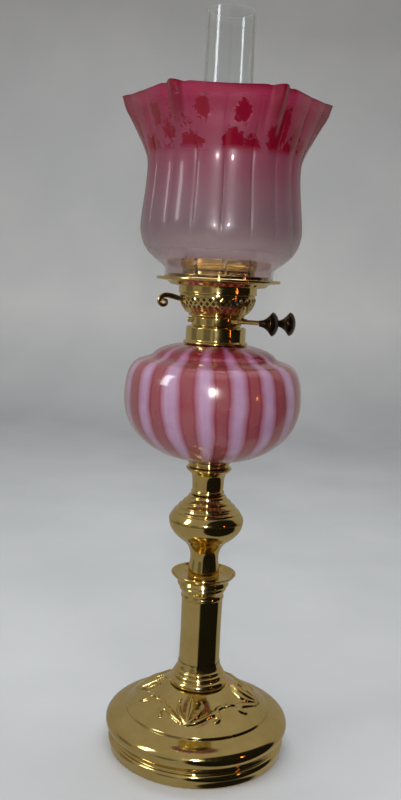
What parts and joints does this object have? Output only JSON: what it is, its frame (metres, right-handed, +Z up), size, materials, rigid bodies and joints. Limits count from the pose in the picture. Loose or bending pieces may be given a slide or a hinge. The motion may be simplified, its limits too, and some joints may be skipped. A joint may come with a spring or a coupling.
{
  "type": "oil lamp",
  "caption": "Table oil lamp: brass pillar stand, striped glass font, twin-wick burner with two winders and a snuffer lever, clear chimney and crimped tinted shade.",
  "frame": {"origin": "middle of the base, on the surface the lamp stands on", "axes": "+Z up the pillar, +X along the wick winders towards their knobs, +Y away from the front wick"},
  "size_m": [0.1832, 0.1832, 0.6874],
  "materials": {
    "brass": "polished",
    "bronze": "dark tarnished",
    "steel": "plain",
    "iron": "rough cast",
    "plaster": "matt setting plaster",
    "cotton": "woven cotton wick",
    "striped_glass": "opalescent stripes in cranberry glass",
    "shade_glass": "etched glass, cranberry rim fading to clear",
    "clear_glass": "clear polished"
  },
  "bodies": {
    "stand": {"base_shell": "brass", "base_ballast": "iron", "rod_washer": "steel", "rod_nut": "steel", "tie_rod": "steel", "pillar_foot": "brass", "pillar_tube": "brass", "pillar_capital": "brass", "drip_dish": "brass", "knop_lower": "brass", "knop_upper": "brass", "font_socket": "brass", "font_peg": "brass", "font_glass": "striped_glass", "collar_plaster": "plaster", "font_collar": "brass"},
    "burner": {"burner_chamber": "brass", "burner_bead": "brass", "burner_basket": "brass", "wick_tube_front": "brass", "wick_tube_rear": "brass", "bearing_front": "brass", "bearing_rear": "brass", "bearing_cap_front": "brass", "bearing_cap_rear": "brass", "lever_bracket": "brass", "lever_pin": "steel"},
    "wick_front": {"wick_front": "cotton"},
    "wick_rear": {"wick_rear": "cotton"},
    "winder_front": {"spindle_front": "brass", "knob_front": "bronze", "spur_front_left": "steel", "spur_front_right": "steel"},
    "winder_rear": {"spindle_rear": "brass", "knob_rear": "bronze", "spur_rear_left": "steel", "spur_rear_right": "steel"},
    "lever": {"snuffer_lever": "brass"},
    "snuffer": {"snuffer_carriage": "brass"},
    "lid_front": {"snuffer_lid_front": "brass"},
    "lid_rear": {"snuffer_lid_rear": "brass"},
    "gallery": {"gallery_band": "brass", "gallery_ring": "brass", "flame_cone": "brass", "chimney_crown": "brass"},
    "chimney": {"chimney_glass": "clear_glass"},
    "shade": {"shade_glass": "shade_glass"}
  },
  "joints": [
    {"name": "burner_lift", "type": "slide", "parent": "stand", "child": "burner", "axis": [0, 0, 1], "range_m": [0, 0.13]},
    {"name": "winder_front_turn", "type": "hinge", "parent": "burner", "child": "winder_front", "pos_m": [0.03, -0.0115, 0.415], "axis": [1, 0, 0], "range_deg": [-150, 45]},
    {"name": "winder_rear_turn", "type": "hinge", "parent": "burner", "child": "winder_rear", "pos_m": [0.03, 0.0115, 0.415], "axis": [1, 0, 0], "range_deg": [-45, 150]},
    {"name": "wick_front_travel", "type": "slide", "parent": "burner", "child": "wick_front", "axis": [0, 0, 1], "range_m": [-0.0111, 0.0034]},
    {"name": "wick_rear_travel", "type": "slide", "parent": "burner", "child": "wick_rear", "axis": [0, 0, 1], "range_m": [-0.0111, 0.0034]},
    {"name": "lever_press", "type": "hinge", "parent": "burner", "child": "lever", "pos_m": [-0.02334, -0.01804, 0.431], "axis": [0.6115, -0.7912, 0], "range_deg": [0, 30]},
    {"name": "snuffer_rise", "type": "slide", "parent": "burner", "child": "snuffer", "axis": [0, 0, 1], "range_m": [0, 0.0054]},
    {"name": "lid_front_close", "type": "hinge", "parent": "snuffer", "child": "lid_front", "pos_m": [0, -0.0095, 0.441], "axis": [1, 0, 0], "range_deg": [-91, 0]},
    {"name": "lid_rear_close", "type": "hinge", "parent": "snuffer", "child": "lid_rear", "pos_m": [0, 0.0095, 0.441], "axis": [1, 0, 0], "range_deg": [0, 91]},
    {"name": "gallery_lift", "type": "slide", "parent": "burner", "child": "gallery", "axis": [0, 0, 1], "range_m": [0, 0.04]},
    {"name": "chimney_lift", "type": "slide", "parent": "gallery", "child": "chimney", "axis": [0, 0, 1], "range_m": [0, 0.165]},
    {"name": "shade_lift", "type": "slide", "parent": "gallery", "child": "shade", "axis": [0, 0, 1], "range_m": [0, 0.24]}
  ],
  "couplings": [
    {"joint": "wick_front_travel", "follows": "winder_front_turn", "m_per_rad": 0.0042},
    {"joint": "wick_rear_travel", "follows": "winder_rear_turn", "m_per_rad": -0.0042},
    {"joint": "snuffer_rise", "follows": "lever_press", "m_per_rad": 0.010122},
    {"joint": "lid_front_close", "follows": "lever_press", "ratio": -3},
    {"joint": "lid_rear_close", "follows": "lever_press", "ratio": 3}
  ]
}
